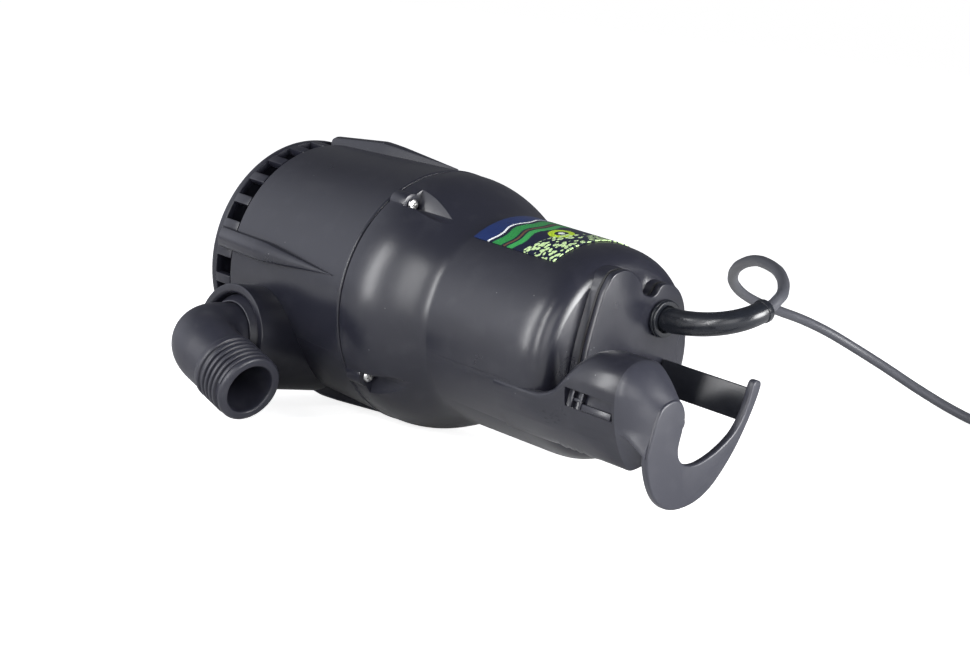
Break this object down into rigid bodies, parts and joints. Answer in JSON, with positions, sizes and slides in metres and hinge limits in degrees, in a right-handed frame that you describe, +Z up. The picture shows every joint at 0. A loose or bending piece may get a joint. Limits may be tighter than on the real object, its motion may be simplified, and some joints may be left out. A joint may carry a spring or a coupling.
{
  "type": "submersible bilge pump",
  "caption": "Submersible drainage and bilge pump with strainer foot, volute casing, swivelling threaded outlet elbow, motor housing, carry handle and mains cord wound in a coil.",
  "frame": {"origin": "centre of the pump's box on the floor that it lies on, cord and coil left out", "axes": "+Z up; +X along the lying pump from the strainer foot to the handle; the cord and its coil lie behind it, towards +Y"},
  "size_m": [0.4115, 0.7264, 0.1632],
  "materials": {
    "housing_plastic": "fine matte moulded finish",
    "elbow_plastic": "matte moulded finish",
    "handle_plastic": "satin moulded finish",
    "gasket_rubber": "matte",
    "cord_rubber": "smooth satin sheath",
    "relief_rubber": "glossy",
    "zinc_steel": "bright zinc",
    "motor_steel": "plain",
    "cast_aluminium": "as cast",
    "copper_winding": "varnished copper wire",
    "seal_ceramic": "polished ceramic",
    "pale_plastic": "matte",
    "label_film": "printed film, satin",
    "pin_brass": "nickelled"
  },
  "bodies": {
    "pump": {"volute_casing": "housing_plastic", "strainer_base": "housing_plastic", "base_screw_1": "zinc_steel", "base_screw_2": "zinc_steel", "base_screw_3": "zinc_steel", "base_screw_4": "zinc_steel", "housing_screw_1": "zinc_steel", "housing_screw_2": "zinc_steel", "housing_screw_3": "zinc_steel", "housing_screw_4": "zinc_steel", "motor_housing": "housing_plastic", "float_cord_clip": "housing_plastic", "housing_o_ring": "gasket_rubber", "end_plate_gasket": "gasket_rubber", "end_plate": "housing_plastic", "gland_seal": "gasket_rubber", "gland_ring": "relief_rubber", "strain_relief": "relief_rubber", "handle": "handle_plastic", "capacitor": "pale_plastic", "rating_label": "label_film", "lower_bracket": "cast_aluminium", "lower_bearing": "motor_steel", "stator_core": "motor_steel", "upper_winding": "copper_winding", "lower_winding": "copper_winding", "upper_bracket": "cast_aluminium", "upper_bearing": "motor_steel", "stator_bolt_1": "motor_steel", "stator_bolt_2": "motor_steel", "stator_bolt_3": "motor_steel", "stator_bolt_4": "motor_steel", "terminal_block": "pale_plastic", "suction_plate": "motor_steel", "seal_plate": "housing_plastic", "seal_seat": "seal_ceramic", "elbow_o_ring": "gasket_rubber", "elbow_lock_ring": "elbow_plastic", "cord_free": "cord_rubber", "cord_coil": "cord_rubber", "coil_tie": "gasket_rubber", "cord_tail": "cord_rubber", "plug_body": "relief_rubber", "plug_pin_1": "pin_brass", "plug_pin_2": "pin_brass"},
    "rotor": {"shaft": "motor_steel", "rotor_core": "motor_steel", "impeller": "housing_plastic", "impeller_nut": "zinc_steel", "seal_bellows": "gasket_rubber"},
    "elbow": {"discharge_elbow": "elbow_plastic"}
  },
  "joints": [
    {"name": "rotor_spin", "type": "hinge", "parent": "pump", "child": "rotor", "pos_m": [-0.0499, 0.0306, 0.07725], "axis": [0.9981, 0, -0.061], "continuous": true},
    {"name": "elbow_swivel", "type": "hinge", "parent": "pump", "child": "elbow", "pos_m": [-0.12957, 0.02888, 0.03587], "axis": [0.0023, -0.9993, 0.037], "continuous": true}
  ]
}
